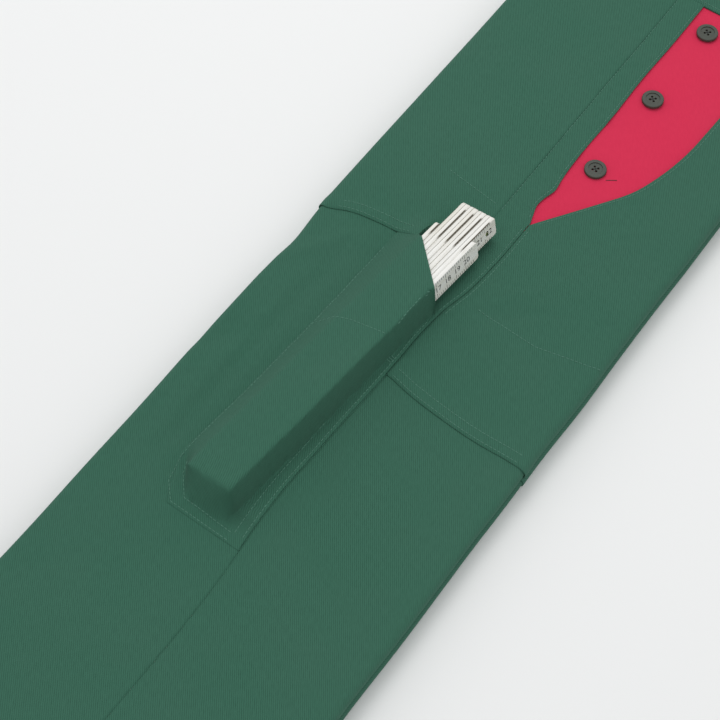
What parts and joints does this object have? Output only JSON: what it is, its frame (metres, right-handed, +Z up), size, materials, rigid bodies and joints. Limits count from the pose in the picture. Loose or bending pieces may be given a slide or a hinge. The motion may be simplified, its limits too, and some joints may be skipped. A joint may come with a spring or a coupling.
{
  "type": "chainsaw chaps",
  "caption": "Full-wrap protective leg covers folded flat on their side, with a rule pocket, side slit, calf zips and a waist belt.",
  "frame": {"origin": "on the resting surface, under the side seam at the hem of the front overlay", "axes": "+Y along the leg from hem to waist, +X towards the front of the leg, +Z up"},
  "size_m": [0.4264, 1.0225, 0.0492],
  "materials": {
    "green_twill": "heavy cotton-polyester twill",
    "crimson_twill": "plain-weave facing cloth",
    "cut_pad": "layered long-fibre cut-protection pad",
    "lining": "smooth lining cloth",
    "button_plastic": "satin moulded",
    "zip_tape": "woven tape",
    "zip_teeth": "moulded teeth",
    "zip_metal": "dark nickel",
    "rule_wood": "white painted beech",
    "rule_brass": "brass plated",
    "belt_webbing": "polypropylene webbing",
    "buckle_plastic": "moulded acetal"
  },
  "bodies": {
    "leg_covers": {"belt_webbing": "belt_webbing", "buckle_socket": "buckle_plastic", "left_back_inner_panel": "green_twill", "left_back_lining": "lining", "left_back_outer_panel": "green_twill", "left_back_overlay": "green_twill", "left_back_seam_strip": "green_twill", "left_buttons": "button_plastic", "left_cut_pad": "cut_pad", "left_front_lining": "lining", "left_front_overlay": "green_twill", "left_front_panel": "green_twill", "left_hem_band": "green_twill", "left_placket": "green_twill", "left_underlap": "crimson_twill", "left_waistband": "green_twill", "left_zip_stops": "zip_teeth", "left_zip_tapes": "zip_tape", "left_zip_teeth": "zip_teeth", "right_back_inner_panel": "green_twill", "right_back_lining": "lining", "right_back_outer_panel": "green_twill", "right_back_overlay": "green_twill", "right_back_seam_strip": "green_twill", "right_buttons": "button_plastic", "right_cut_pad": "cut_pad", "right_front_lining": "lining", "right_front_overlay": "green_twill", "right_front_panel": "green_twill", "right_hem_band": "green_twill", "right_placket": "green_twill", "right_underlap": "crimson_twill", "right_waistband": "green_twill", "right_zip_stops": "zip_teeth", "right_zip_tapes": "zip_tape", "right_zip_teeth": "zip_teeth", "rule_pocket": "green_twill"},
    "folding_rule": {"rule_joint_plates": "rule_brass", "rule_leaf_01": "rule_wood", "rule_leaf_02": "rule_wood", "rule_leaf_03": "rule_wood", "rule_leaf_04": "rule_wood", "rule_leaf_05": "rule_wood", "rule_leaf_06": "rule_wood", "rule_leaf_07": "rule_wood", "rule_leaf_08": "rule_wood", "rule_leaf_09": "rule_wood", "rule_leaf_10": "rule_wood", "rule_rivets": "rule_brass"},
    "right_slider": {"right_zip_slider": "zip_metal"},
    "right_pull": {"right_zip_pull": "zip_metal"},
    "left_slider": {"left_zip_slider": "zip_metal"},
    "left_pull": {"left_zip_pull": "zip_metal"},
    "buckle_plug": {"buckle_plug": "buckle_plastic"}
  },
  "joints": [
    {"name": "rule_slide", "type": "slide", "parent": "leg_covers", "child": "folding_rule", "axis": [0.0785, 0.9969, 0], "range_m": [-0.035, 0.165]},
    {"name": "right_zip_slide", "type": "slide", "parent": "leg_covers", "child": "right_slider", "axis": [0, 1, 0], "range_m": [0, 0.225]},
    {"name": "right_pull_swing", "type": "hinge", "parent": "right_slider", "child": "right_pull", "pos_m": [-0.12365, -0.54405, 0.018], "axis": [0, 0, -1], "range_deg": [0, 160]},
    {"name": "left_zip_slide", "type": "slide", "parent": "leg_covers", "child": "left_slider", "axis": [0, 1, 0], "range_m": [0, 0.225]},
    {"name": "left_pull_swing", "type": "hinge", "parent": "left_slider", "child": "left_pull", "pos_m": [-0.12365, -0.54405, 0.006], "axis": [0, 0, -1], "range_deg": [0, 160]},
    {"name": "buckle_release", "type": "slide", "parent": "leg_covers", "child": "buckle_plug", "axis": [1, 0, 0], "range_m": [0, 0.024]}
  ]
}
